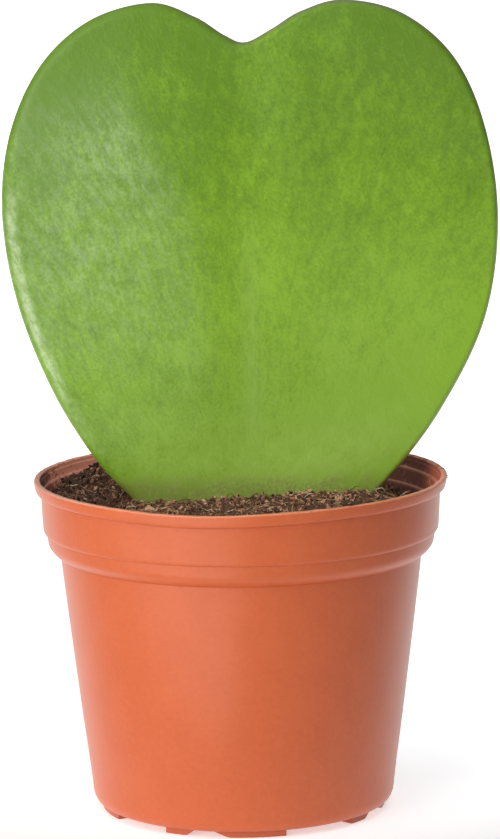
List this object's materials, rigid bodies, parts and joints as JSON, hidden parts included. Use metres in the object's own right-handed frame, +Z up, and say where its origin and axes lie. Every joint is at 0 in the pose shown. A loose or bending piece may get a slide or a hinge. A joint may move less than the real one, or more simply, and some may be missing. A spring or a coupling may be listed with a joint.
{
  "type": "potted hoya plant",
  "caption": "Thick heart-shaped hoya leaf standing upright in compost in a small tapered plastic pot with a collared rim and low feet.",
  "frame": {"origin": "on the surface that the pot stands on, under the middle of the whole plant's box; the pot's axis is 1.7 mm from it towards -X", "axes": "+Z up, the leaf's face towards -Y, +X to the right of someone who looks at that face"},
  "size_m": [0.0713, 0.06, 0.1172],
  "materials": {
    "pot_plastic": "satin",
    "compost_brown": "matte",
    "leaf_green": "satin"
  },
  "bodies": {
    "root": {"pot": "pot_plastic", "compost": "compost_brown", "leaf": "leaf_green"}
  },
  "joints": []
}
